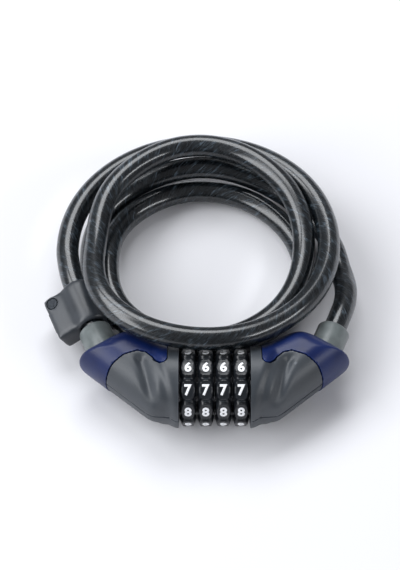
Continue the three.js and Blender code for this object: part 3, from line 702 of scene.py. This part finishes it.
# ---------- lock mechanism ----------
# The barrel, its clip, the code sleeves and the lugged pin are die-cast or turned zinc alloy, and
# the spring and crimps are bright zinc-plated steel. They show when the plug is out.
zinc, output = new_material("die_cast_zinc_alloy")
place = add(zinc, "TexCoord").outputs["Object"]
flow = add(zinc, "TexNoise", {"Scale": 420.0, "Detail": 4.0, "Distortion": 0.6}, {"Vector": place})
tint = ramp(zinc, flow.outputs["Fac"], [(0.3, 0x9A9DA0), (0.7, 0xC0C3C6)])
cast = add(zinc, "MapRange", {"To Min": 0.28, "To Max": 0.46}, {"Value": flow.outputs["Fac"]})
ripple = add(zinc, "Bump", {"Strength": 0.15, "Distance": 0.0002}, {"Height": flow.outputs["Fac"]})
bright = add(zinc, "BsdfPrincipled", {"Metallic": 1.0},
             {"Base Color": tint, "Roughness": cast.outputs["Result"], "Normal": ripple.outputs["Normal"]})
zinc.node_tree.links.new(bright.outputs["BSDF"], output.inputs["Surface"])

plated, output = new_material("zinc_plated_steel")
place = add(plated, "TexCoord").outputs["Object"]
spangle = add(plated, "TexNoise", {"Scale": 800.0, "Detail": 3.0}, {"Vector": place})
tint = ramp(plated, spangle.outputs["Fac"], [(0.3, 0xA8AAA8), (0.7, 0xD2D2CC)])
shine = add(plated, "MapRange", {"To Min": 0.18, "To Max": 0.34}, {"Value": spangle.outputs["Fac"]})
drawn = add(plated, "Bump", {"Strength": 0.1, "Distance": 0.0001}, {"Height": spangle.outputs["Fac"]})
steel = add(plated, "BsdfPrincipled", {"Metallic": 1.0},
            {"Base Color": tint, "Roughness": shine.outputs["Result"], "Normal": drawn.outputs["Normal"]})
plated.node_tree.links.new(steel.outputs["BSDF"], output.inputs["Surface"])

CAST_NODES = ["lock_barrel", "barrel_clip", "locking_pin", "pin_retainer"]
CAST_NODES += [f"code_sleeve_{i + 1}" for i in range(DIAL_COUNT)]
PLATED_NODES = ["detent_spring", "lock_crimp", "plug_crimp"]

# The screws are oil-blackened instead, a dark satin that doesn't show against the nylon.
blackened, output = new_material("oil_blackened_steel")
oil = add(blackened, "TexNoise", {"Scale": 900.0, "Detail": 3.0},
          {"Vector": add(blackened, "TexCoord").outputs["Object"]})
tint = ramp(blackened, oil.outputs["Fac"], [(0.3, 0x202225), (0.7, 0x34373B)])
sheen = add(blackened, "MapRange", {"To Min": 0.3, "To Max": 0.45}, {"Value": oil.outputs["Fac"]})
dark_steel = add(blackened, "BsdfPrincipled", {"Metallic": 1.0},
                 {"Base Color": tint, "Roughness": sheen.outputs["Result"]})
blackened.node_tree.links.new(dark_steel.outputs["BSDF"], output.inputs["Surface"])

# The case screws have round heads 3 mm across, which leave play in the wells of the casing.
SCREW_SLIMNESS = 0.62
for half, side, body in HALVES:
    for number in (1, 2):
        screw = softened(f"{half}_case_screw_{number}", f"{half}_screw_{number}", 0.2, 4)
        points = np.array([vertex.co for vertex in screw.data.vertices])
        middle = (points.min(0) + points.max(0)) / 2
        slim = (points - middle) * (SCREW_SLIMNESS, SCREW_SLIMNESS, 1) + middle
        screw.data.vertices.foreach_set("co", slim.reshape(-1))
        screw.data.materials.append(blackened)
        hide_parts(f"{half}_screw_{number}")
        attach(screw, body)

for finish, nodes in ((zinc, CAST_NODES), (plated, PLATED_NODES), (blackened, ["bracket_screw"])):
    for node in nodes:
        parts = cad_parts[node]
        if not parts.material_slots:
            parts.data.materials.append(finish)
        for face_slot in parts.material_slots:
            face_slot.material = finish


# ---------- table and lamps ----------
# A pale matt table under three soft lamps that stand in an arc from the left round to the back,
# with a slim one low on the right.
floor_mesh = bmesh.new()
bmesh.ops.create_grid(floor_mesh, x_segments=1, y_segments=1, size=3)
table = new_piece("table", [], [])
floor_mesh.to_mesh(table.data)
floor_mesh.free()
table.location.z = -0.0002
paint, output = new_material("matt_table_paint")
soft = add(paint, "BsdfPrincipled",
           {"Base Color": linear(0xE2E2E5), "Roughness": 0.9, "Specular IOR Level": 0.2})
paint.node_tree.links.new(soft.outputs["BSDF"], output.inputs["Surface"])
table.data.materials.append(paint)


def lamp(name, toward, away, size, power, along):
    """A rectangular lamp that faces the lock, with its long side turned to lie along a direction."""
    light = bpy.data.lights.new(name, "AREA")
    light.shape = "RECTANGLE"
    light.size, light.size_y = size
    light.energy = power
    light.color = linear(0xFAFCFF)[:3]
    holder = bpy.data.objects.new(name, light)
    bpy.context.collection.objects.link(holder)
    back = Vector(toward).normalized()
    side = Vector(along) - back * back.dot(Vector(along))
    side.normalize()
    turned_to = Matrix((side, back.cross(side), back)).transposed().to_4x4()
    holder.matrix_world = Matrix.Translation(target + back * away) @ turned_to


LAMP_DISTANCE = 1.8
SOFT_LAMP_SIZE = (1.1, 0.85)
SOFT_LAMP_WATTS = 18.5
SLIM_LAMP_SIZE = (1.4, 0.24)
SLIM_LAMP_WATTS = 11.0
for name, toward, along in (
    ("left_soft_lamp", (-0.8, -0.34, 0.49), (0.16, 0.51, 0.25)),
    ("corner_soft_lamp", (-0.64, 0.17, 0.74), (0.75, 0.91, 0.33)),
    ("back_soft_lamp", (-0.05, 0.57, 0.82), (0.59, 0.4, 0.08)),
):
    lamp(name, toward, LAMP_DISTANCE, SOFT_LAMP_SIZE, SOFT_LAMP_WATTS, along)
lamp("slim_side_lamp", (0.8, -0.33, 0.48), LAMP_DISTANCE, SLIM_LAMP_SIZE, SLIM_LAMP_WATTS, (0.3, 1, 0))
surroundings = bpy.data.worlds.new("pale_room")
surroundings.use_nodes = True
surroundings.node_tree.nodes["Background"].inputs["Color"].default_value = linear(0xF4F4FA)
surroundings.node_tree.nodes["Background"].inputs["Strength"].default_value = 0.2
bpy.context.scene.world = surroundings
bpy.context.scene.view_settings.view_transform = "Standard"
